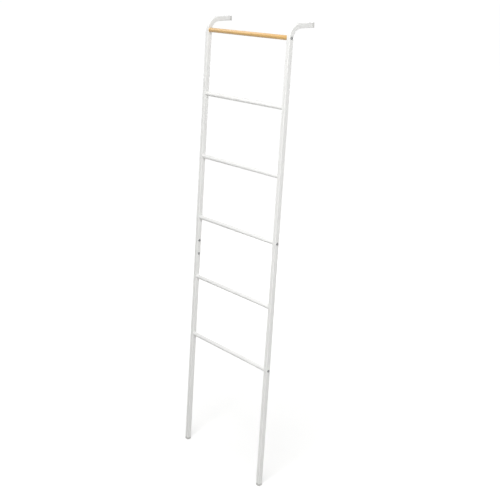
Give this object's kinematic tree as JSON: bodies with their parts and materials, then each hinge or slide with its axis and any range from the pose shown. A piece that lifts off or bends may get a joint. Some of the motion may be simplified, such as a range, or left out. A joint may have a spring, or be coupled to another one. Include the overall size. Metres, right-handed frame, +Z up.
{
  "type": "towel ladder",
  "caption": "Leaning towel ladder of white square tube with arms bent back to the wall, round steel rungs and a wooden top bar; each rail is joined at half height.",
  "frame": {"origin": "on the floor, at the middle of the outline's width and depth, with the ladder leaning as in use", "axes": "+X to the right seen from the front, +Y towards the wall, +Z up"},
  "size_m": [0.4716, 0.2243, 1.5997],
  "materials": {
    "white_powder_coat": "satin powder coat",
    "lacquered_wood": "clear satin lacquer",
    "zinc_screws": "zinc plated",
    "plain_steel": "plain, inside the tubes",
    "white_nylon": "moulded, matte",
    "soft_caps": "moulded, matte"
  },
  "bodies": {
    "root": {"arm_cap_left": "soft_caps", "arm_cap_right": "soft_caps", "bar_inserts": "plain_steel", "bar_screws": "zinc_screws", "foot_cap_left": "soft_caps", "foot_cap_right": "soft_caps", "joint_screws_left": "zinc_screws", "joint_screws_right": "zinc_screws", "joint_sleeve_left": "plain_steel", "joint_sleeve_right": "plain_steel", "lower_rail_left": "white_powder_coat", "lower_rail_right": "white_powder_coat", "rung_1": "white_powder_coat", "rung_1_plugs": "white_nylon", "rung_2": "white_powder_coat", "rung_2_plugs": "white_nylon", "rung_3": "white_powder_coat", "rung_3_inserts": "plain_steel", "rung_3_screws": "zinc_screws", "rung_4": "white_powder_coat", "rung_4_plugs": "white_nylon", "rung_5": "white_powder_coat", "rung_5_inserts": "plain_steel", "rung_5_screws": "zinc_screws", "top_bar": "lacquered_wood", "upper_rail_left": "white_powder_coat", "upper_rail_right": "white_powder_coat"}
  },
  "joints": []
}
